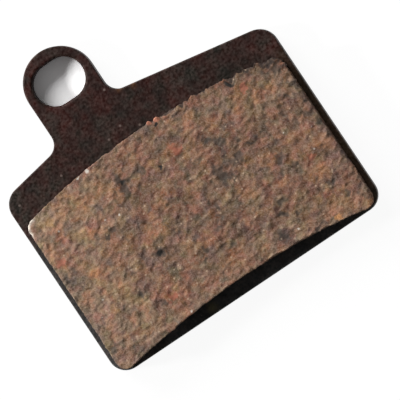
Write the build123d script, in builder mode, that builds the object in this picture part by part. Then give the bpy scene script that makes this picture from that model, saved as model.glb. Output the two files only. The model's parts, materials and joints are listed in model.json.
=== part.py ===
"""Bicycle disc brake pad: a stamped steel backing plate with a pin eye, and a lining moulded on to it.

The pad lies on its back. Z = 0 is the face that the caliper piston pushes, and +Z is the friction side.
X runs across the pad and +Y towards the pin eye. The origin is where the piston axis meets the back face.
"""

import os
from math import radians, sqrt, tan

from build123d import *

# Backing plate, in millimetres and degrees
plate_width = 30.0
plate_thickness = 2.0
side_height = 19.94  # from the bottom edge up to the shoulders
piston_height = 9.94  # from the bottom edge up to the piston axis
roof_angle = 10.2  # rise of the top edge, from each shoulder to the tab
toe_radius = 1.7  # bottom corners
shoulder_radius = 1.9  # top corners
neck_radius = 1.45  # inner corners where the tab leaves the top edge
plate_edge_radius = 0.15  # tumbled edges of the stamping

# Pin eye and the tab around it
eye_height = 4.1  # across the eye, along Y
eye_float = 1.1  # sideways play of the pin, which makes the eye oval along X
eye_rise = 6.44  # from the shoulders up to the centre of the eye
eye_offset = 4.3  # from the pad's centre line to the left
eye_side_wall = 0.9  # steel left on each side of the eye
eye_tip_wall = 1.28  # steel left between the eye and the tip of the tab
eye_edge_radius = 0.3  # the eye's edge on the friction side, drawn in by the punch

# Friction lining
lining_thickness = 2.0
lining_side_margin = 0.55  # bare plate beside the lining
lining_toe_margin = 0.18  # bare plate below the lining's lowest points
lining_shoulder_margin = 3.15  # from the lining's upper corners up to the plate's shoulders
lining_inner_radius = 74.0  # hollow lower edge, which clears the rotor's spokes
lining_outer_radius = 65.0  # crowned upper edge
lining_toe_radius = 1.0
lining_shoulder_radius = 1.0
lining_edge_radius = 0.1  # broken brim of the friction face

# Keying holes through the plate, filled by the lining
key_diameter = 4.0
key_spacing = 14.0
key_recess = 0.1  # the fill stops this far short of the back face

# Heights along Y, with the piston axis at zero
bottom_y = -piston_height
shoulder_y = bottom_y + side_height
eye_y = shoulder_y + eye_rise
tab_width = eye_height + eye_float + 2 * eye_side_wall
tab_tip_y = eye_y + eye_height / 2 + eye_tip_wall
tab_end_y = tab_tip_y - tab_width / 2

# Places along X, and the heights where the sloping top edge meets the tab's flanks
half_width = plate_width / 2
tab_left = -eye_offset - tab_width / 2
tab_right = -eye_offset + tab_width / 2
roof_slope = tan(radians(roof_angle))
neck_left_y = shoulder_y + (half_width + tab_left) * roof_slope
neck_right_y = shoulder_y + (half_width - tab_right) * roof_slope


def sagitta(radius, half_chord):
    """Rise of an arc of that radius above its chord."""
    return radius - sqrt(radius**2 - half_chord**2)


os.makedirs("parts", exist_ok=True)

# Backing plate: one outline from the tab's right flank clockwise to its left flank, closed by the round end
with BuildPart() as backing_plate:
    with BuildSketch():
        with BuildLine():
            FilletPolyline(
                (tab_right, tab_end_y),
                (tab_right, neck_right_y),
                (half_width, shoulder_y),
                (half_width, bottom_y),
                (-half_width, bottom_y),
                (-half_width, shoulder_y),
                (tab_left, neck_left_y),
                (tab_left, tab_end_y),
                radius=[neck_radius, shoulder_radius, toe_radius, toe_radius, shoulder_radius, neck_radius],
            )
            ThreePointArc((tab_left, tab_end_y), (-eye_offset, tab_tip_y), (tab_right, tab_end_y))
        make_face()
        with Locations((-eye_offset, eye_y)):
            SlotCenterToCenter(eye_float, eye_height, mode=Mode.SUBTRACT)
    extrude(amount=plate_thickness)
    back_face, friction_face = backing_plate.faces().filter_by(Axis.Z).sort_by(Axis.Z)
    fillet(friction_face.inner_wires()[0].edges(), eye_edge_radius)
    fillet(back_face.edges() + friction_face.outer_wire().edges(), plate_edge_radius)
    with BuildSketch():
        with GridLocations(key_spacing, 0, 2, 1):
            Circle(key_diameter / 2)
    extrude(amount=plate_thickness, mode=Mode.SUBTRACT)
backing_plate.part.label = "backing_plate"
export_step(backing_plate.part, "parts/backing_plate.step")

# Friction lining: a block with a hollow lower edge and a crowned upper edge, and a plug in each keying hole
lining_half_width = half_width - lining_side_margin
lining_corner_y = shoulder_y - lining_shoulder_margin
upper_crown_y = lining_corner_y + sagitta(lining_outer_radius, lining_half_width)
toe_centre_x = lining_half_width - lining_toe_radius
lower_crown_y = bottom_y + lining_toe_margin + sagitta(lining_inner_radius, toe_centre_x)
lower_corner_y = lower_crown_y - sagitta(lining_inner_radius, lining_half_width)

with BuildPart() as friction_lining:
    with BuildSketch(Plane.XY.offset(plate_thickness)) as lining_outline:
        with BuildLine():
            ThreePointArc(
                (-lining_half_width, lining_corner_y),
                (0, upper_crown_y),
                (lining_half_width, lining_corner_y),
            )
            Line((lining_half_width, lining_corner_y), (lining_half_width, lower_corner_y))
            ThreePointArc(
                (lining_half_width, lower_corner_y),
                (0, lower_crown_y),
                (-lining_half_width, lower_corner_y),
            )
            Line((-lining_half_width, lower_corner_y), (-lining_half_width, lining_corner_y))
        make_face()
        fillet(lining_outline.vertices().group_by(Axis.Y)[0], lining_toe_radius)
        fillet(lining_outline.vertices().group_by(Axis.Y)[-1], lining_shoulder_radius)
    extrude(amount=lining_thickness)
    fillet(friction_lining.faces().sort_by(Axis.Z)[-1].edges(), lining_edge_radius)
    with BuildSketch(Plane.XY.offset(key_recess)):
        with GridLocations(key_spacing, 0, 2, 1):
            Circle(key_diameter / 2)
    extrude(amount=plate_thickness - key_recess)
friction_lining.part.label = "friction_lining"
export_step(friction_lining.part, "parts/friction_lining.step")
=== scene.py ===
import json
from math import cos, pi, radians, sin

import bpy
import numpy as np
from mathutils import Matrix, Vector


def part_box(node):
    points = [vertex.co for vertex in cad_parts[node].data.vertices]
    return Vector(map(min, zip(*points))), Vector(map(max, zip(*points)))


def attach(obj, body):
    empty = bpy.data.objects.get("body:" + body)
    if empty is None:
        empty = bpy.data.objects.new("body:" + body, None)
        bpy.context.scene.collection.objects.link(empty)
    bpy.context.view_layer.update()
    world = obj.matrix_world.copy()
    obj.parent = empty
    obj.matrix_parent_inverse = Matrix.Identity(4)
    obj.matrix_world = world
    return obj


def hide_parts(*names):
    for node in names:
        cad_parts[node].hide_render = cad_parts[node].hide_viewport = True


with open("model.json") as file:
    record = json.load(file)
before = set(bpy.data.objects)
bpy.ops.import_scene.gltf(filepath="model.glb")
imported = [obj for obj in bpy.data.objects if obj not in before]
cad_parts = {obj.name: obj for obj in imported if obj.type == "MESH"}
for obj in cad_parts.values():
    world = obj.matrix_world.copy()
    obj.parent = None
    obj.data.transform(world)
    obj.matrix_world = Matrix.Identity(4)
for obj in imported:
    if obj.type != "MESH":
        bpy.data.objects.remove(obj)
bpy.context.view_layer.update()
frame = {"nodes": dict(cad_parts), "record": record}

millimetre = 0.001

# Backing plate
# A stamping of 2 mm steel sheet, tumbled to break its edges, shot-blasted and sprayed with a thin, matt,
# dark brown coat. It carries the lining, and the pin goes through the eye in its tab.
coat_red = (0.0345, 0.0122, 0.0098, 1)
coat_olive = (0.0185, 0.0146, 0.0113, 1)
coat_shade_black = (0.042, 0.0418, 0.041, 1)
coat_grey = (0.033, 0.0315, 0.0305, 1)
coat_warm_light = (0.050, 0.031, 0.016, 1)
coat_worn_and_sheen = (0.085, 0.058, 0.048, 1)
coat_dust = (0.20, 0.15, 0.13, 1)
coat_rust = (0.115, 0.052, 0.020, 1)
coat_grain = (0.028, 0.0214, 0.0195)
coat_stain = (0.15, 0.13, 0.05, 1)
plate_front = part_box("backing_plate")[1].z / millimetre
back_to_front = (0.4, 1.0)  # between these heights, the margins take on their own tones, partly painted light and shade
side_margin = (13.9, 14.4)  # from here out, the plate is bare beside the lining
toe_margin = (-7.9, -8.6)  # and from here down, below it
left_margin_end = (7, 3)  # how far up the left margin is greyer
right_light_end = (8, 5)  # and how far up the right one gets a painted warm light
middle_to_side = (5, 13)  # the coat gets paler from here to here on both sides
tab_root = (10.5, 13)  # redder up the tab's root
tab_tip = (16, 18.5)  # and paler towards its tip
rust_places = [(0.0, 12.8), (1.5, 12.35)]  # in the right neck of the tab, where the coat is thin
rust_reach = 0.6
stain_place = (-4.1, -9.35)  # a faint stain on the bottom margin
stain_reach = 0.75
dust_places = [(-1.15, 13.4), (-1.8, 9.75), (-3.4, 9.25), (-0.2, 8.8), (-9.05, 8.95), (-13.9, 8.8)]
dust_reach = 0.16
shear_pitch = 0.16
shear_height = 2.5  # beside the blasted grain, whose height counts as 1
shear_squash = 0.08  # the thickness counts by this much, so that the lines are drawn out through it
blast_pitch = 0.28
coat_bump = 0.06 * millimetre


def put(tree, kind, feeds=None, **settings):
    """Adds a shader node: settings are its own properties, feeds are values or sockets for its inputs."""
    made = tree.nodes.new("ShaderNode" + kind)
    for name, value in settings.items():
        setattr(made, name, value)
    for name, value in (feeds or {}).items():
        if isinstance(value, bpy.types.NodeSocket):
            tree.links.new(value, made.inputs[name])
        else:
            made.inputs[name].default_value = value
    return made


def sum_up(tree, operation, *terms):
    """The result of one Math operation on values or sockets."""
    return put(tree, "Math", dict(enumerate(terms)), operation=operation).outputs[0]


def spread(tree, value, low, high, to_low=0.0, to_high=1.0):
    """A value stretched so that low becomes to_low and high becomes to_high, and held between the two."""
    feeds = {"Value": value, "From Min": low, "From Max": high, "To Min": to_low, "To Max": to_high}
    return put(tree, "MapRange", feeds).outputs["Result"]


def blend(tree, share, first, second):
    """A colour between two others: share 0 gives the first and share 1 the second."""
    return put(tree, "Mix", {0: share, 6: first, 7: second}, data_type="RGBA").outputs[2]


def shade(tree, colour, brightness):
    """A colour made lighter or darker by a factor."""
    return put(tree, "VectorMath", {0: colour, "Scale": brightness}, operation="SCALE").outputs[0]


def tinted(tree, colour, tint):
    """A colour multiplied by another."""
    return put(tree, "VectorMath", {0: colour, 1: tint}, operation="MULTIPLY").outputs[0]


def added(tree, colour, share, other):
    """A colour with a share of another added to it."""
    return put(tree, "VectorMath", {0: share, 1: other, 2: colour}, operation="MULTIPLY_ADD").outputs[0]


def away(tree, place, centre):
    """Distance from a fixed place."""
    return put(tree, "VectorMath", {0: place, 1: centre}, operation="DISTANCE").outputs["Value"]


def new_group(name, inputs, outputs):
    """An empty node group with those named sockets, and the nodes at its two ends."""
    group = bpy.data.node_groups.new(name, "ShaderNodeTree")
    for label, kind in inputs.items():
        group.interface.new_socket(label, in_out="INPUT", socket_type=kind)
    for label in outputs:
        group.interface.new_socket(label, in_out="OUTPUT", socket_type="NodeSocketFloat")
    return group, group.nodes.new("NodeGroupInput").outputs, group.nodes.new("NodeGroupOutput").inputs


def make_mottling():
    """Soft patches and finer grain: two noises of those feature sizes, each spread from 0 to 1."""
    sizes = {"Vector": "NodeSocketVector", "Patch Size": "NodeSocketFloat", "Grain Size": "NodeSocketFloat"}
    group, given, result = new_group("mottling", sizes, ["Patches", "Grain"])
    for label, size, detail in (("Patches", "Patch Size", 2.0), ("Grain", "Grain Size", 1.0)):
        scale = sum_up(group, "DIVIDE", 1.0, given[size])
        feeds = {"Vector": given["Vector"], "Scale": scale, "Detail": detail}
        clouds = put(group, "TexNoise", feeds).outputs[0]
        group.links.new(spread(group, clouds, 0.3, 0.7), result[label])
    return group


def make_specks():
    """Scattered round specks: the chosen share of the cells of a 3-D lattice has one, of that radius."""
    sizes = {"Vector": "NodeSocketVector", "Spacing": "NodeSocketFloat", "Radius": "NodeSocketFloat",
             "Share": "NodeSocketFloat"}
    group, given, result = new_group("specks", sizes, ["Specks"])
    feeds = {"Vector": given["Vector"], "Scale": sum_up(group, "DIVIDE", 1.0, given["Spacing"])}
    cells = put(group, "TexVoronoi", feeds)
    distance = sum_up(group, "MULTIPLY", cells.outputs["Distance"], given["Spacing"])
    core = sum_up(group, "MULTIPLY", given["Radius"], 0.4)
    chance = put(group, "SeparateColor", {0: cells.outputs["Color"]}).outputs[0]
    present = sum_up(group, "LESS_THAN", chance, given["Share"])
    group.links.new(sum_up(group, "MULTIPLY", spread(group, distance, given["Radius"], core), present),
                    result["Specks"])
    return group


mottling = make_mottling()
specks = make_specks()


def new_finish(name):
    """A new material with only its output node, its node tree and the piece's own place in millimetres."""
    finish = bpy.data.materials.new(name)
    finish.use_nodes = True
    tree = finish.node_tree
    tree.nodes.clear()
    place = put(tree, "TexCoord").outputs["Object"]
    return finish, tree, shade(tree, place, 1 / millimetre)


def use_group(tree, group, place, sizes):
    """The outputs of a node group, set on a piece with those sizes."""
    return put(tree, "Group", {"Vector": place, **sizes}, node_tree=group).outputs


def noise(tree, place, size, detail):
    """A plain noise with features of that size."""
    return put(tree, "TexNoise", {"Vector": place, "Scale": 1 / size, "Detail": detail}).outputs[0]


def plate_coat():
    """Matt dark brown paint over blasted steel: reddish and olive clouds, fine grain, dust, a stain and a
    rusty neck. The left margin is greyer. The bottom margin, in the lining's shadow, is painted the neutral
    dark of that shade, and the right one is painted warmer and lighter as light falls on it. The tumbled
    edges are worn paler, and that paler colour is also a painted highlight on them."""
    finish, tree, place = new_finish("plate_coat")
    at = put(tree, "SeparateXYZ", {0: place}).outputs
    normal = put(tree, "NewGeometry").outputs["Normal"]
    facing = sum_up(tree, "ABSOLUTE", put(tree, "SeparateXYZ", {0: normal}).outputs["Z"])
    hues = use_group(tree, mottling, place, {"Patch Size": 1.5, "Grain Size": 0.26})
    tones = use_group(tree, mottling, place, {"Patch Size": 3.5, "Grain Size": 0.8})
    dust = use_group(tree, specks, place, {"Spacing": 0.9, "Radius": 0.1, "Share": 0.06})["Specks"]

    on_tab = spread(tree, at["Y"], *tab_root, 0, 0.25)
    colour = blend(tree, sum_up(tree, "ADD", hues["Patches"], on_tab), coat_olive, coat_red)
    friction_side = spread(tree, at["Z"], *back_to_front)
    left_margin = spread(tree, at["X"], -side_margin[0], -side_margin[1])
    left_margin = sum_up(tree, "MULTIPLY", left_margin, spread(tree, at["Y"], *left_margin_end))
    colour = blend(tree, sum_up(tree, "MULTIPLY", left_margin, friction_side), colour, coat_grey)
    # The bottom margin lies in the lining's shadow: its neutral dark tone is painted shade
    black = sum_up(tree, "MULTIPLY", spread(tree, at["Y"], *toe_margin), friction_side)
    colour = blend(tree, black, colour, coat_shade_black)
    # The right margin, shaded by the lining, gets a painted warm light
    right_warm_light = spread(tree, at["X"], *side_margin, 0, 0.7)
    right_warm_light = sum_up(tree, "MULTIPLY", right_warm_light, spread(tree, at["Y"], *right_light_end))
    colour = blend(tree, sum_up(tree, "MULTIPLY", right_warm_light, friction_side), colour, coat_warm_light)
    # Tumbled edges are worn paler, and the same colour is also a painted highlight along them
    worn = sum_up(tree, "MULTIPLY", spread(tree, facing, 0.97, 0.8), spread(tree, facing, 0.1, 0.4))
    worn = sum_up(tree, "MULTIPLY", worn, spread(tree, hues["Grain"], 0.3, 0.9, 0, 0.5))
    colour = blend(tree, worn, colour, coat_worn_and_sheen)
    lighter = spread(tree, hues["Grain"], 0, 1, -0.46, 0.54)
    colour = added(tree, colour, lighter, coat_grain)
    aside = sum_up(tree, "ABSOLUTE", at["X"])
    colour = shade(tree, colour, spread(tree, aside, *middle_to_side, 0.95, 1.12))
    colour = shade(tree, colour, spread(tree, at["Y"], *tab_tip, 1, 1.2))
    colour = shade(tree, colour, spread(tree, tones["Grain"], 0, 1, 0.72, 1.3))
    colour = shade(tree, colour, spread(tree, tones["Patches"], 0, 1, 0.8, 1.25))
    for rust_x, rust_y in rust_places:
        rust = spread(tree, away(tree, place, (rust_x, rust_y, plate_front)), rust_reach, 0, 0, 0.9)
        colour = blend(tree, sum_up(tree, "MULTIPLY", rust, tones["Grain"]), colour, coat_rust)
    stain = spread(tree, away(tree, place, (*stain_place, plate_front)), stain_reach, 0, 0, 0.55)
    colour = blend(tree, stain, colour, coat_stain)
    for speck_x, speck_y in dust_places:
        speck_away = away(tree, place, (speck_x, speck_y, plate_front))
        speck = spread(tree, speck_away, dust_reach, 0.4 * dust_reach)
        dust = sum_up(tree, "MAXIMUM", dust, speck)
    colour = blend(tree, sum_up(tree, "MULTIPLY", dust, 0.6), colour, coat_dust)

    # Shear lines of the stamping run through the thickness, on the cut edges only
    along_cut = put(tree, "Mapping", {"Vector": place, "Scale": (1, 1, shear_squash)}).outputs[0]
    cut_edge = spread(tree, facing, 0.6, 0.2, 0, shear_height)
    shear = sum_up(tree, "MULTIPLY", noise(tree, along_cut, shear_pitch, 2.0), cut_edge)
    height = sum_up(tree, "ADD", noise(tree, place, blast_pitch, 4.0), shear)
    bump = put(tree, "Bump", {"Height": height, "Strength": 1.0, "Distance": coat_bump}).outputs[0]

    surface = put(tree, "BsdfPrincipled", {
        "Base Color": colour, "Roughness": spread(tree, hues["Patches"], 0, 1, 0.62, 0.5),
        "Normal": bump, "Specular IOR Level": 0.15})
    tree.links.new(surface.outputs[0], put(tree, "OutputMaterial").inputs["Surface"])
    return finish


frame["nodes"]["backing_plate"].material_slots[0].material = plate_coat()

# Friction lining
# Compound of resin, fibres and mineral, iron and copper grains, hot-pressed on to the plate and keyed into
# its two round holes. Its face is raw, with grains torn out along the edges, and paler at the left end.
lining_low, lining_high = [np.array(corner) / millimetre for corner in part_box("friction_lining")]
half_width = lining_high[0]
face = lining_high[2]
inner_radius = 74.0
outer_radius = 65.0
toe_radius = 1.0
shoulder_radius = 1.0
brim_radius = 0.1
toe_x = half_width - toe_radius
toe_y = lining_low[1] + toe_radius
inner_y = toe_y - np.sqrt((inner_radius + toe_radius) ** 2 - toe_x**2)
shoulder_x = half_width - shoulder_radius
outer_y = lining_high[1] - outer_radius
shoulder_y = outer_y + np.sqrt((outer_radius - shoulder_radius) ** 2 - shoulder_x**2)

mesh_pitch = 0.09
brim_steps = np.array([0, 0.012, 0.035, 0.065, 0.1, 0.17])
wall_rings = 18
crumble_reach = 0.8  # how far in from the outline the face's points are shifted
bite_drop = 0.7  # how far down the wall a bite reaches
key_spacing = 14.0
key_radius = 2.0
key_bottom = lining_low[2]
key_inside = 0.2  # how far the closed end of a key's wall reaches into the block
key_round = 0.04
key_core = 0.1
key_sides = 72
key_shift = (40, 25)  # the keys' grains are read this far off, away from the face's placed spots
lattice = (97, 89)  # random values per direction, after which a field repeats


def lower_edge(x):
    """Height of the hollow lower edge at x: the inner arc, then the round of the toe."""
    x = np.abs(x)
    arc = inner_y + np.sqrt(inner_radius**2 - x**2)
    toe = toe_y - np.sqrt(np.clip(toe_radius**2 - (x - toe_x) ** 2, 0, None))
    return np.where(x < toe_x * inner_radius / (inner_radius + toe_radius), arc, toe)


def upper_edge(x):
    """Height of the crowned upper edge at x: the outer arc, then the round of the shoulder."""
    x = np.abs(x)
    arc = outer_y + np.sqrt(outer_radius**2 - x**2)
    shoulder = shoulder_y + np.sqrt(np.clip(shoulder_radius**2 - (x - shoulder_x) ** 2, 0, None))
    return np.where(x < shoulder_x * outer_radius / (outer_radius - shoulder_radius), arc, shoulder)


def edge_distance(x, y):
    """Distance in from the outline: the least of those to both arcs and the side, or to a corner's
    round."""
    x = np.abs(x)
    distance = np.minimum(half_width - x, np.hypot(x, y - inner_y) - inner_radius)
    distance = np.minimum(distance, outer_radius - np.hypot(x, y - outer_y))
    beside, below = x - toe_x, y - toe_y
    at_toe = (below < 0) & (beside * (toe_y - inner_y) > toe_x * below)
    distance = np.where(at_toe, toe_radius - np.hypot(beside, below), distance)
    beside, above = x - shoulder_x, y - shoulder_y
    at_shoulder = (above > 0) & (beside * (shoulder_y - outer_y) > shoulder_x * above)
    return np.where(at_shoulder, shoulder_radius - np.hypot(beside, above), distance)


def rolling(x, y, pitch, seed):
    """Smooth random field, about -1 to 1: every corner of a square lattice has a random slope, and the four
    planes round a point are blended with 6t^5 - 15t^4 + 10t^3."""
    turn = np.random.default_rng(seed).uniform(0, 2 * np.pi, lattice)
    column, row = np.floor(x / pitch).astype(int), np.floor(y / pitch).astype(int)
    across, along = x / pitch - column, y / pitch - row
    fade_across = across**3 * (across * (across * 6 - 15) + 10)
    fade_along = along**3 * (along * (along * 6 - 15) + 10)

    def plane(right, up):
        slope = turn[(column + right) % lattice[0], (row + up) % lattice[1]]
        return np.cos(slope) * (across - right) + np.sin(slope) * (along - up)

    low = plane(0, 0) + fade_across * (plane(1, 0) - plane(0, 0))
    high = plane(0, 1) + fade_across * (plane(1, 1) - plane(0, 1))
    return 1.5 * (low + fade_along * (high - low))


def speckled(x, y, pitch, seed):
    """Grains side by side, -1 to 1: each cell of a square lattice has a centre, off-centre at random, and a
    random value. A point blends the nine centres around it by exp(-(distance / 0.4 pitch)^2), so that every
    grain keeps its own value up to a narrow border."""
    chance = np.random.default_rng(seed).random((3, *lattice))
    column, row = np.floor(x / pitch).astype(int), np.floor(y / pitch).astype(int)
    total = np.zeros_like(x)
    weights = np.zeros_like(x)
    for right, up in np.ndindex(3, 3):
        cell = (column + right - 1) % lattice[0], (row + up - 1) % lattice[1]
        gap_x = (column + right - 1 + chance[0][cell]) * pitch - x
        gap_y = (row + up - 1 + chance[1][cell]) * pitch - y
        weight = np.exp(-(gap_x**2 + gap_y**2) / (0.4 * pitch) ** 2)
        total += weight * (2 * chance[2][cell] - 1)
        weights += weight
    return total / weights


def rise(value, low, high):
    """A value stretched so that low becomes 0 and high becomes 1, and held between the two."""
    return np.clip((value - low) / (high - low), 0, 1)


def spots(x, y, places, ragged=0.0):
    """Placed spots, 0 to 1: each is (x, y, radius), and falls off as a bell curve round its centre."""
    x = x + ragged * rolling(x, y, 0.3, 71)
    y = y + ragged * rolling(x, y, 0.3, 72)
    bells = [np.exp(-((x - at_x) ** 2 + (y - at_y) ** 2) / radius**2) for at_x, at_y, radius in places]
    return np.max(bells, axis=0)


def layered(x, y, layers, seed):
    """Rolling fields added up, so that patches of many sizes mix: each layer is (pitch, weight), and takes
    the next seed."""
    return sum(weight * rolling(x, y, pitch, seed + order) for order, (pitch, weight) in enumerate(layers))


def grained(x, y, layers, seed):
    """Fields of grains added up in the same way."""
    return sum(weight * speckled(x, y, pitch, seed + order) for order, (pitch, weight) in enumerate(layers))


# What stands out on the real face is placed: a spot is (x, y, radius), and a bite or bulge has a depth too
copper_flakes = [(0.72, 8.36, 0.26), (1.52, 8.28, 0.34)]
flake_glint_places = [(-6.66, 7.95, 0.22), (-7.8, 7.83, 0.1), (-7.6, 7.9, 0.08), (-6.42, 2.8, 0.13),
                (-7.78, 3.14, 0.1), (-12.0, 4.7, 0.12), (-13.15, -4.35, 0.1), (-12.15, -3.0, 0.1),
                (-5.8, -8.5, 0.15), (6.95, -7.7, 0.14), (10.75, 0.6, 0.1), (13.25, -0.45, 0.08),
                (12.3, -2.25, 0.1)]
gold_grains = [(10.68, -8.85, 0.38)]
red_grains = [(-13.45, 2.0, 0.6), (1.5, 5.05, 0.8), (10.0, 6.25, 0.45), (11.8, -2.7, 0.55),
              (-6.6, -6.4, 0.6)]
brick_patches = [(-13.45, 2.0, 0.9), (1.5, 5.0, 0.9), (6.05, 5.3, 0.6), (4.9, 8.1, 0.4), (-6.6, -6.4, 0.9),
                 (-4.4, 2.3, 0.8), (-0.9, 0.4, 0.9), (1.2, -1.9, 0.6), (-4.1, -5.9, 0.7), (-5.3, -0.3, 0.5),
                 (8.4, 2.6, 1.2), (8.4, 4.6, 0.5), (10.7, 6.8, 0.7), (11.5, -2.7, 0.7)]
dark_clumps = [(3.8, 0.5, 1.3), (5.2, 2.9, 0.9), (5.9, 1.3, 0.8), (4.2, 4.2, 0.7), (1.65, 4.15, 0.45),
               (-4.4, 5.1, 1.0), (-2.7, 4.8, 0.6), (-5.2, -2.4, 0.7), (-2.9, -1.2, 0.6), (-1.2, -5.0, 0.8),
               (1.2, -3.0, 0.6), (6.6, -5.4, 1.0), (7.6, -6.6, 0.5), (5.5, -7.4, 0.6), (8.7, -8.2, 0.7),
               (11.9, -6.0, 0.6), (11.3, -6.7, 0.5), (13.35, -8.3, 0.9), (13.2, 6.5, 1.1), (9.3, 7.4, 0.5),
               (11.1, 7.2, 0.35), (-13.9, 0.6, 0.5), (-14.0, -7.3, 0.6), (-7.6, 2.3, 0.6), (-8.4, 1.5, 0.4),
               (-8.6, -4.6, 0.4), (-2.3, 2.85, 0.4), (-0.3, 8.5, 0.4), (9.4, -1.0, 0.6), (-4.0, -8.3, 0.4),
               (14.3, 2.0, 0.35), (14.3, -0.5, 0.3), (-12.1, -8.4, 0.5)]
pale_patches = [(-14.0, 3.4, 1.4), (-13.2, 6.0, 1.2), (-10.3, 3.6, 1.1), (-8.6, 5.4, 1.3),
                (-11.3, -0.9, 1.2), (-12.6, -2.8, 1.3), (-9.6, -3.6, 1.1), (-2.5, -3.9, 1.0),
                (0.5, -7.6, 1.5), (3.6, -7.8, 1.0), (3.2, 6.4, 1.2), (9.2, 5.6, 1.0), (11.6, -4.4, 0.9),
                (7.0, -2.2, 0.8), (12.2, 2.6, 0.7), (5.7, 5.3, 0.8), (8.4, 4.6, 0.6), (12.2, 4.9, 0.7),
                (11.1, -8.8, 0.6), (1.5, 5.1, 0.7), (-13.4, 1.9, 0.5), (2.9, -1.25, 0.4), (-4.0, -7.4, 0.6)]
torn_holes = [(-0.67, 4.33, 0.24), (-4.44, 5.15, 0.3), (-5.2, -2.3, 0.32), (9.05, 7.32, 0.36),
              (1.21, 7.95, 0.17)]
edge_bites = [(-3.75, 8.35, 0.3, 0.2), (1.1, 8.5, 0.12, 0.15), (2.7, 8.4, 0.8, 0.28),
              (4.25, 8.3, 0.24, 0.34), (6.5, 8.1, 0.35, 0.17), (9.38, 7.75, 0.28, 0.5),
              (12.75, 7.1, 0.26, 0.34),
              (14.4, 3.5, 0.35, 0.08), (14.4, 2.0, 0.4, 0.14), (14.4, -0.6, 0.35, 0.09),
              (14.4, -2.1, 0.3, 0.09), (14.4, -4.7, 0.25, 0.13), (-1.8, -8.55, 0.3, 0.1),
              (3.6, -8.6, 0.8, 0.16), (6.2, -8.8, 0.7, 0.12), (7.6, -8.9, 0.5, 0.12),
              (9.1, -9.1, 0.6, 0.12), (11.5, -9.4, 0.4, 0.07)]
edge_bulges = [(-0.3, 8.45, 0.6, 0.06), (0.72, 8.47, 0.24, 0.18), (1.5, 8.46, 0.3, 0.22),
               (5.4, 8.25, 0.2, 0.14), (7.5, 8.0, 0.6, 0.06), (8.85, 7.85, 0.3, 0.06),
               (10.2, 7.6, 0.25, 0.12), (11.0, 7.5, 0.4, 0.12), (12.1, 7.25, 0.35, 0.24),
               (13.5, 6.8, 0.3, 0.14), (14.4, -5.7, 0.8, 0.1), (-8.1, -8.95, 0.2, 0.12)]
worn_lit_corner = [(-14.4, 5.9, 0.35), (-14.2, 6.5, 0.5), (-13.6, 6.95, 0.3)]
dull_corner = [(13.4, 6.7, 1.0)]
upper_stretch = (5, 6)  # the outline's upper edge lies above these heights
torn_stretch = (1, 5)  # between these places, that edge gets more ragged towards the right
dull_stretch = (3, 11)  # and its dull band gets wider
side_stretch = 0.5  # round the corners, the sides' dull bands run out over this width
side_band = 0.12
lit_rim_band = 0.22
dull_pitch = 0.4
deep_bite = 0.12  # a bite that is deeper also lowers the face beside it
less_red_from = -4.0  # left of this, the compound is less and less red
grain_bend = 0.25
grain_ragged = 0.3
grain_squash = 0.8  # the width counts by this much, so that grains in relief are longer across the pad
relief_top = 0.12  # relief above this is pressed flat


def worn_back(x, y):
    """1 along the outline's upper and left edges, 0 along the lower and right ones."""
    return rise(y, -8, -5) * rise(x, half_width - 0.2, half_width - 0.7)


def crumbled(x, y, far_x, far_y):
    """How far the edge is torn back at a point of the outline: a little on two sides, and uneven all round,
    more so along the right half's upper edge. Below the face, the unevenness is read further out, as if the
    wall were folded up to the face's plane."""
    uneven = layered(far_x, far_y, [(0.9, 1), (0.4, 1), (0.22, 1.4)], 31)
    ragged = 0.03 + 0.06 * rise(x, *torn_stretch) * rise(y, 2, 6)
    return 0.06 * worn_back(x, y) + uneven * ragged


def bitten(x, y):
    """Placed bites less placed bulges at a point of the outline: each is its depth times a bell curve."""
    bites = sum(depth * spots(x, y, [(at_x, at_y, reach)]) for at_x, at_y, reach, depth in edge_bites)
    bulges = sum(depth * spots(x, y, [(at_x, at_y, reach)]) for at_x, at_y, reach, depth in edge_bulges)
    return bites - bulges


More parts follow.
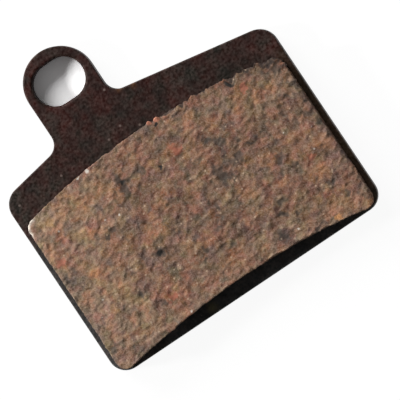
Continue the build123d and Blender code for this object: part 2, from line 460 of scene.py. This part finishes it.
def compound(x, y):
    """The compound's tints, relief and kinds of grain at a point: a dictionary of fields.
    Tints blend grains side by side with wide soft patches. A kind of grain is where such a field passes a
    mark, which is lower near its placed spots. Gold grains, flakes and holes are placed spots alone. Relief
    adds up fields of several pitches, a little longer across the pad than along it."""
    bent_x = x + grain_bend * rolling(x, y, 0.5, 61)
    bent_y = y + grain_bend * rolling(x, y, 0.5, 62)
    clumped, paled, bricked, reddened = [spots(x, y, places, grain_ragged) for places in
                                         (dark_clumps, pale_patches, brick_patches, red_grains)]
    warmth = layered(bent_x, bent_y, [(1.8, 0.4), (3.6, 0.2)], 43) + 0.5 * paled - 0.3 * clumped - 0.05
    darkness = grained(bent_x, bent_y, [(0.6, 0.9), (0.3, 0.45)], 11) - 0.4 * warmth + clumped
    reddening = grained(bent_x, bent_y, [(0.7, 0.8)], 13) + 1.7 * reddened
    paling = speckled(bent_x, bent_y, 0.4, 14) + 0.5 * speckled(x, y, 0.25, 15) + 0.3 * warmth
    warmth = warmth + grained(bent_x, bent_y, [(0.55, 0.45), (1.05, 0.45)], 81)
    redness = layered(bent_x, bent_y, [(2.4, 0.2), (4.8, 0.12)], 53) - 0.05
    redness = redness + grained(bent_x, bent_y, [(0.7, 0.6), (1.3, 0.25)], 83)
    redness = redness + grained(bent_x, bent_y, [(0.4, 0.4)], 87)
    redness = redness + 0.15 * warmth + 0.55 * bricked + 0.04 * np.minimum(x - less_red_from, 0)
    ochre = layered(bent_x, bent_y, [(2.8, 0.18)], 58) - 0.05
    ochre = ochre + grained(bent_x, bent_y, [(0.7, 0.6), (1.3, 0.2)], 85)
    ochre = ochre + grained(bent_x, bent_y, [(0.4, 0.4)], 88)
    ochre = ochre + 0.2 * warmth + 0.25 * paled
    kinds = {
        "warmth": rise(warmth, -1, 1),
        "redness": rise(redness, -0.85, 0.85),
        "ochre": rise(ochre, -0.85, 0.85),
        "dark_grain": rise(darkness, 0.65, 1.25),
        "red_grain": rise(reddening, 0.8, 1.25),
        "pale_grain": rise(paling, 0.6, 1.3),
        "gold_grain": spots(x, y, gold_grains, 0.2),
        "copper_flake": spots(x, y, copper_flakes, 0.1),
        "flake_glint": spots(x, y, flake_glint_places, 0.1),
        "torn_hole_shade": spots(x, y, torn_holes, 0.15),
    }
    long_x = grain_squash * x
    relief = layered(long_x, y, [(0.28, 0.041), (0.55, 0.074), (1.3, 0.056)], 21)
    relief = relief + grained(long_x, y, [(0.5, 0.032), (0.3, 0.018)], 24)
    relief = relief + 0.02 * kinds["pale_grain"] + 0.05 * kinds["copper_flake"]
    relief = relief - 0.03 * kinds["dark_grain"] - 0.09 * kinds["torn_hole_shade"]
    kinds["relief"] = np.minimum(relief - relief_top, 0)
    kinds["worn_rim"] = np.zeros_like(relief)
    kinds["dull_rim"] = np.zeros_like(relief)
    return kinds


def lining_face():
    """Columns and rows of points between the two edges, closer at the brim, and their distance from it."""
    inner = np.arange(brim_steps[-1], half_width, mesh_pitch)
    half = np.unique(np.concatenate([half_width - brim_steps, half_width - inner]))
    across = np.concatenate([-half[::-1], half[half > 0]])
    height = upper_edge(0) - lower_edge(0)
    inner = np.linspace(brim_steps[-1], height - brim_steps[-1], int(height / mesh_pitch))
    share = np.concatenate([brim_steps[:-1], inner, height - brim_steps[-2::-1]]) / height
    x = across[:, None] + 0 * share[None, :]
    y = lower_edge(x) + share * (upper_edge(x) - lower_edge(x))
    distance = np.clip(edge_distance(x, y), 0, None)
    return x, y, distance


def dullness(x, y, distance, edge_x, edge_y):
    """How far the compound darkens near the outline: along the upper edge, wider to the right, at the upper
    right corner and in a narrow band along both sides. The band along the right side is painted shade,
    where that side's brim turns away from the light. A band falls off as exp(-distance / its width)."""
    rightness = rise(edge_x, *dull_stretch)
    upper = 0.3 + 0.3 * rise(edge_x, 1.5, 4) + 0.1 * rightness
    upper = upper * np.exp(-distance / (0.13 + 0.4 * rightness)) * rise(edge_y, *upper_stretch)
    left = 0.45 * rise(edge_x, side_stretch - half_width, -half_width)
    right = 0.3 * rise(edge_x, half_width - side_stretch, half_width) * (1 - rise(edge_y, *upper_stretch))
    return upper + (left + right) * np.exp(-distance / side_band) + 0.5 * spots(x, y, dull_corner, 0.4)


def inward(x, y):
    """Unit direction in from the nearest stretch of the outline: the slope of the edge distance."""
    step = 0.001
    slope_x = (edge_distance(x + step, y) - edge_distance(x - step, y)) / (2 * step)
    slope_y = (edge_distance(x, y + step) - edge_distance(x, y - step)) / (2 * step)
    length = np.maximum(np.hypot(slope_x, slope_y), 1e-6)
    return slope_x / length, slope_y / length


x, y, distance = lining_face()
columns, rows = x.shape
in_x, in_y = inward(x, y)
edge_x, edge_y = x - in_x * distance, y - in_y * distance
torn = crumbled(edge_x, edge_y, edge_x, edge_y) + bitten(edge_x, edge_y)
face_kinds = compound(x, y)
brim = np.clip(brim_radius - distance, 0, None)
z = face - (brim_radius - np.sqrt(brim_radius**2 - brim**2)) + face_kinds["relief"]
# The pale rim at the upper left corner is worn and also a painted highlight where the brim catches the
# light. A faint paler band along the other edges is partly wear and partly painted light.
face_kinds["worn_rim"] = spots(x, y, worn_lit_corner, 0.25) * np.exp(-((distance / lit_rim_band) ** 2))
face_kinds["worn_rim"] += 0.04 * np.exp(-distance / 0.7) * (1 - rise(edge_y, *upper_stretch))
dull = dullness(x, y, distance, edge_x, edge_y)
face_kinds["dull_rim"] = np.clip(dull * (1 + 1.1 * rolling(x, y, dull_pitch, 34)), 0, 0.95)

# The face drops a little beside deep bites, at the worn, lit corner and at the right side's brim
z = z - 0.15 * np.clip(torn - deep_bite, 0, None) * np.exp(-distance / 0.18)
z = z - 0.12 * face_kinds["worn_rim"]
z = z - 0.11 * rise(edge_x, half_width - 0.6, half_width) * np.exp(-((distance / 0.25) ** 2))
push = torn * np.exp(-((distance / crumble_reach) ** 2))
face_points = np.stack([x + in_x * push, y + in_y * push, z], -1).reshape(-1, 3)

# The wall hangs from the face's border, ring under ring, down to the plate. Bites fade out on the way, and
# the wall is dull under them. Its relief runs out towards its upper and lower end.
border_column = np.concatenate([np.arange(columns), np.full(rows - 1, columns - 1),
                                np.arange(columns - 2, -1, -1), np.zeros(rows - 2, int)])
border_row = np.concatenate([np.zeros(columns, int), np.arange(1, rows),
                             np.full(columns - 1, rows - 1), np.arange(rows - 2, 0, -1)])
border = border_column * rows + border_row
border_x, border_y = x.ravel()[border], y.ravel()[border]
border_in_x, border_in_y = in_x.ravel()[border], in_y.ravel()[border]
depth = (np.arange(1, wall_rings + 1) / wall_rings)[:, None]
wall_z = face_points[border, 2] + depth * (plate_front - face_points[border, 2])
wall_below = face_points[border, 2] - wall_z
far_x, far_y = border_x - border_in_x * wall_below, border_y - border_in_y * wall_below
wall_kinds = compound(far_x, far_y)
border_bites = bitten(border_x, border_y)
bite_share = np.exp(-((wall_below / bite_drop) ** 2))
wall_dull = dull.ravel()[border] + 0.3 * rise(border_y, *upper_stretch)
wall_dull = wall_dull + 1.2 * np.clip(border_bites, 0, None) * (1 - bite_share)
wall_dull = wall_dull * (1 + 0.7 * rolling(far_x, far_y, dull_pitch, 34))
wall_kinds["dull_rim"] = np.clip(wall_dull, 0, 0.9)
wall_push = crumbled(border_x, border_y, border_x, border_y)
wall_push = np.maximum(wall_push, crumbled(border_x, border_y, far_x, far_y)) + border_bites * bite_share
wall_rough = np.minimum(1, 4 * (1 - depth)) * np.minimum(1, 4 * depth)
wall_push = wall_push - 0.7 * wall_kinds["relief"] * wall_rough
wall_x, wall_y = border_x + border_in_x * wall_push, border_y + border_in_y * wall_push
wall_points = np.stack([wall_x, wall_y, wall_z], -1).reshape(-1, 3)

grid = np.arange(columns * rows).reshape(columns, rows)
face_quads = np.stack([grid[:-1, :-1], grid[1:, :-1], grid[1:, 1:], grid[:-1, 1:]], -1).reshape(-1, 4)
rings = np.vstack([border, columns * rows + np.arange(wall_rings * border.size).reshape(wall_rings, -1)])
following = np.roll(rings, -1, axis=1)
wall_quads = np.stack([rings[1:], following[1:], following[:-1], rings[:-1]], -1).reshape(-1, 4)

# The underside is closed by one strip between the two edges for each column, and one face at each end
last_ring = rings[-1]
under_low = last_ring[:columns]
under_high = last_ring[columns + rows - 2:2 * columns + rows - 2][::-1]
under_right = last_ring[columns - 1:columns + rows - 1]
under_left = np.concatenate([last_ring[2 * columns + rows - 3:], last_ring[:1]])
strips = np.stack([under_low[1:-2], under_high[1:-2], under_high[2:-1], under_low[2:-1]], -1)
left_end = np.concatenate([under_left[::-1], under_high[1:2], under_low[1:2]])
right_end = np.concatenate([under_low[-2:-1], under_high[-2:-1], under_right[::-1]])

# Each key is turned: its rough end near the plate's back, its wall up the hole, closed inside the lining
key_turn = np.linspace(0, 2 * np.pi, key_sides, endpoint=False)
key_edge = [key_radius - key_round, key_radius - key_round / 4, key_radius, key_radius]
key_profile = np.concatenate([np.arange(key_core, key_radius - 0.05, mesh_pitch), key_edge])[:, None]
key_height = plate_front + key_inside - key_bottom
key_rise = np.concatenate([np.zeros(len(key_profile) - 3), [key_round, 0.1, key_height]])[:, None]
key_points, key_quads, key_ends, key_kinds = [], [], [], []
first = columns * rows + wall_points.shape[0]
for side in (-1, 1):
    key_x = side * key_spacing / 2 + key_profile * np.cos(key_turn)
    key_y = key_profile * np.sin(key_turn)
    kinds = compound(key_x + key_shift[0], key_y + key_shift[1])
    key_z = key_bottom + key_rise - np.where(key_rise <= key_round, kinds["relief"], 0)
    key_points.append(np.stack([key_x, key_y, key_z], -1).reshape(-1, 3))
    turns = first + np.arange(key_x.size).reshape(key_x.shape)
    beside = np.roll(turns, -1, axis=1)
    key_quads.append(np.stack([turns[1:], beside[1:], beside[:-1], turns[:-1]], -1).reshape(-1, 4))
    key_ends += [turns[0][::-1].tolist(), turns[-1].tolist()]
    key_kinds.append(kinds)
    first += key_x.size

points = np.concatenate([face_points, wall_points, *key_points])
quads = np.concatenate([face_quads, wall_quads, strips, *key_quads])
lining_mesh = bpy.data.meshes.new("lining_block")
lining_mesh.from_pydata((points * millimetre).tolist(), [],
                        quads.tolist() + [left_end.tolist(), right_end.tolist()] + key_ends)
for name in face_kinds:
    values = np.concatenate([kinds[name].ravel() for kinds in (face_kinds, wall_kinds, *key_kinds)])
    lining_mesh.attributes.new(name, "FLOAT", "POINT").data.foreach_set("value", values.astype(np.float32))
lining_mesh.shade_smooth()
lining_mesh.validate()
lining = bpy.data.objects.new("lining_block", lining_mesh)
bpy.context.collection.objects.link(lining)

resin_grey = (0.1320, 0.0828, 0.0582, 1)
resin_tan = (0.366, 0.2000, 0.1170, 1)
tint_grey = (0.865, 1.048, 1.12)
tint_brick = (1.12, 0.92, 0.895)
tint_mauve = (1.035, 0.967, 1.145)
tint_ochre = (0.965, 1.033, 0.865)
grit_light = (0.144, 0.121, 0.106)
pale_end = (-5.5, -10.0)  # where the paler left end starts and where it is full
pale_top = (4.0, 8.0)  # and the same for the upper edge
grain_dark = (0.072, 0.061, 0.050, 1)
rim_dull = (0.052, 0.037, 0.031, 1)
grain_red = (0.36, 0.118, 0.074, 1)
grain_pale = (0.47, 0.325, 0.22, 1)
grain_gold = (0.74, 0.34, 0.13, 1)
rim_pale_highlight = (0.80, 0.73, 0.63, 1)
copper = (0.49, 0.205, 0.132, 1)
glint_white = (0.75, 0.70, 0.62, 1)
sparkle_tan = (0.55, 0.40, 0.28, 1)
hole_shade_black = (0.03, 0.026, 0.023, 1)
grit_pitch = 0.13
compound_bump = 0.045 * millimetre


def lining_compound():
    """Pressed friction compound: resin that wanders from grey to tan, tinted brick, mauve and ochre, and is
    paler at the left end and the upper edge. It has fine grit, tan specks painted as faint glints, and the
    mesh's own grains, flakes, holes and worn or dull rims. Painted light and shade: pale flakes bright as
    glints, holes dark as the shade in them, the relief darker in its hollows and lighter on its pressed
    tops, the worn rim pale as a highlight, and the dull rims partly shade."""
    finish, tree, place = new_finish("lining_compound")
    field = {name: put(tree, "Attribute", attribute_name=name).outputs["Fac"] for name in face_kinds}
    grit = use_group(tree, mottling, place, {"Patch Size": 0.6, "Grain Size": grit_pitch})
    sparkle = use_group(tree, specks, place, {"Spacing": 0.5, "Radius": 0.12, "Share": 0.3})["Specks"]
    at = put(tree, "SeparateXYZ", {0: place}).outputs

    colour = blend(tree, field["warmth"], resin_grey, resin_tan)
    colour = tinted(tree, colour, blend(tree, field["redness"], (*tint_grey, 1), (*tint_brick, 1)))
    colour = tinted(tree, colour, blend(tree, field["ochre"], (*tint_mauve, 1), (*tint_ochre, 1)))
    colour = shade(tree, colour, spread(tree, at["X"], *pale_end, 1, 1.2))
    colour = shade(tree, colour, spread(tree, at["Y"], *pale_top, 1, 1.07))
    lighter = spread(tree, grit["Grain"], 0, 1, -0.5, 0.5)
    colour = added(tree, colour, lighter, grit_light)
    colour = blend(tree, sum_up(tree, "MULTIPLY", field["pale_grain"], 0.52), colour, grain_pale)
    colour = blend(tree, sum_up(tree, "MULTIPLY", field["red_grain"], 0.75), colour, grain_red)
    colour = blend(tree, spread(tree, field["gold_grain"], 0.2, 0.8, 0, 0.85), colour, grain_gold)
    colour = blend(tree, sum_up(tree, "MULTIPLY", field["dark_grain"], 0.7), colour, grain_dark)
    colour = blend(tree, field["dull_rim"], colour, rim_dull)
    # Painted shade and light from the relief: darker down in its hollows, lighter on its pressed-flat tops
    colour = shade(tree, colour, spread(tree, field["relief"], -0.25, 0, 0.7, 1.1))
    colour = blend(tree, sum_up(tree, "MULTIPLY", field["worn_rim"], 0.85), colour, rim_pale_highlight)
    # The torn holes are painted dark, as the shade down in them
    colour = blend(tree, spread(tree, field["torn_hole_shade"], 0.2, 0.7), colour, hole_shade_black)
    flake = spread(tree, field["copper_flake"], 0.35, 0.6)
    colour = blend(tree, flake, colour, copper)
    # Tan specks painted as faint glints
    colour = blend(tree, sum_up(tree, "MULTIPLY", sparkle, 0.6), colour, sparkle_tan)
    # Pale flakes are painted bright as glints
    white = spread(tree, field["flake_glint"], 0.3, 0.8, 0, 0.8)
    colour = blend(tree, white, colour, glint_white)

    height = noise(tree, place, grit_pitch, 3.0)
    bump = put(tree, "Bump", {"Height": height, "Strength": 1.0, "Distance": compound_bump}).outputs[0]
    shine = sum_up(tree, "MAXIMUM", flake, white)
    surface = put(tree, "BsdfPrincipled", {
        "Base Color": colour, "Roughness": spread(tree, shine, 0, 1, 0.85, 0.4), "Normal": bump,
        "Metallic": spread(tree, flake, 0, 1, 0, 0.35), "Specular IOR Level": 0.3})
    tree.links.new(surface.outputs[0], put(tree, "OutputMaterial").inputs["Surface"])
    return finish


lining_mesh.materials.append(lining_compound())
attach(lining, "root")
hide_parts("friction_lining")

# Floor
# A sheet of plain white card that the pad lies on. Around the pad it glows for the camera, so that it reads
# as white and the shadow stays faint. Inside the eye it is only lit. Seen from below, it isn't there.
floor_half = 0.6
floor_gap = 0.02 * millimetre
card_white = (0.8, 0.8, 0.8, 1)
card_shown = (0.1, 0.1, 0.1, 1)
card_glow = 0.93
card_in_eye = (1.78, 1.78, 1.78, 1)
pin_eye = next(mount for mount in frame["record"]["mounts"] if mount["name"] == "pin_eye")
eye_place = Vector(pin_eye["pos_m"]) / millimetre
eye_half = Vector((pin_eye["dims"]["slot_length_mm"] / 2, pin_eye["dims"]["hole_r_mm"], 1))
glow_start = 1.1
glow_full = 1.22


def white_card():
    """White card: diffuse, with a glow for rays that show it outside the eye. Rays that come from below, or
    from the plate's back right above it, go through."""
    finish, tree, place = new_finish("white_card")
    rays = put(tree, "LightPath").outputs
    shown = sum_up(tree, "MAXIMUM", rays["Is Camera Ray"], rays["Is Glossy Ray"])
    shown = sum_up(tree, "MAXIMUM", shown, rays["Is Transmission Ray"])
    eye_foot = (eye_place.x, eye_place.y, 0)
    from_eye = put(tree, "VectorMath", {0: place, 1: eye_foot}, operation="SUBTRACT").outputs[0]
    in_ovals = put(tree, "VectorMath", {0: from_eye, 1: eye_half}, operation="DIVIDE").outputs[0]
    ovals = put(tree, "VectorMath", {0: in_ovals}, operation="LENGTH").outputs["Value"]
    outside = spread(tree, ovals, glow_start, glow_full)
    colour = blend(tree, shown, card_white, blend(tree, outside, card_in_eye, card_shown))
    paper = put(tree, "BsdfDiffuse", {"Color": colour}).outputs[0]
    strength = sum_up(tree, "MULTIPLY", sum_up(tree, "MULTIPLY", shown, outside), card_glow)
    glow = put(tree, "Emission", {"Strength": strength}).outputs[0]
    top = put(tree, "AddShader", {0: paper, 1: glow}).outputs[0]
    below = put(tree, "BsdfTransparent").outputs[0]
    from_back = sum_up(tree, "LESS_THAN", rays["Ray Length"], 4 * floor_gap)
    under = sum_up(tree, "MAXIMUM", put(tree, "NewGeometry").outputs["Backfacing"], from_back)
    tree.links.new(put(tree, "MixShader", {0: under, 1: top, 2: below}).outputs[0],
                   put(tree, "OutputMaterial").inputs["Surface"])
    return finish


floor_mesh = bpy.data.meshes.new("floor")
floor_mesh.from_pydata([(-floor_half, -floor_half, -floor_gap), (floor_half, -floor_half, -floor_gap),
                        (floor_half, floor_half, -floor_gap), (-floor_half, floor_half, -floor_gap)],
                       [], [(0, 1, 2, 3)])
floor_mesh.materials.append(white_card())
floor = bpy.data.objects.new("floor", floor_mesh)
bpy.context.collection.objects.link(floor)

# Light
# A small hard lamp stands low off the pad's left end, and a large soft one off its upper edge, in a white
# room. Each lamp is (name, azimuth and elevation in degrees, size, its part of the light on the floor).
lamp_distance = 0.4
lamps = [("hard_lamp", 157, 28, 0.055, 0.345), ("soft_lamp", 103, 27.5, 0.28, 0.51)]
room_light = 0.145
for name, turn_degrees, rise_degrees, size, part in lamps:
    azimuth, elevation = radians(turn_degrees), radians(rise_degrees)
    lamp_data = bpy.data.lights.new(name, "AREA")
    lamp_data.size = size
    lamp_data.energy = part * (pi * lamp_distance) ** 2 / sin(elevation)
    direction = Vector((cos(azimuth) * cos(elevation), sin(azimuth) * cos(elevation), sin(elevation)))
    lamp = bpy.data.objects.new(name, lamp_data)
    lamp.location = direction * lamp_distance
    lamp.rotation_euler = direction.to_track_quat("Z", "Y").to_euler()
    bpy.context.collection.objects.link(lamp)

room = bpy.data.worlds.new("room")
room.use_nodes = True
room.node_tree.nodes["Background"].inputs["Color"].default_value = (1, 1, 1, 1)
room.node_tree.nodes["Background"].inputs["Strength"].default_value = room_light
bpy.context.scene.world = room

# Camera
# It looks almost straight down from 1 m through a long lens, and is turned by a little over a third of a
# right angle. The frame's origin lies a little off the middle of its picture.
camera_distance = 1.0
camera_tip = radians(1.49)
camera_lean = radians(-4.05)
camera_roll = radians(33.92)
camera_aside = 0.465 * millimetre
camera_above = 0.057 * millimetre
field_width = 37.74 * millimetre

camera_data = bpy.data.cameras.new("camera")
camera_data.lens = camera_data.sensor_width * camera_distance / field_width
camera_turn = (Matrix.Rotation(camera_tip, 4, "X") @ Matrix.Rotation(camera_lean, 4, "Y")
               @ Matrix.Rotation(camera_roll, 4, "Z")).inverted()
camera = bpy.data.objects.new("camera", camera_data)
camera.matrix_world = camera_turn @ Matrix.Translation((camera_aside, camera_above, camera_distance))
bpy.context.collection.objects.link(camera)
bpy.context.scene.camera = camera
bpy.context.scene.view_settings.view_transform = "Standard"
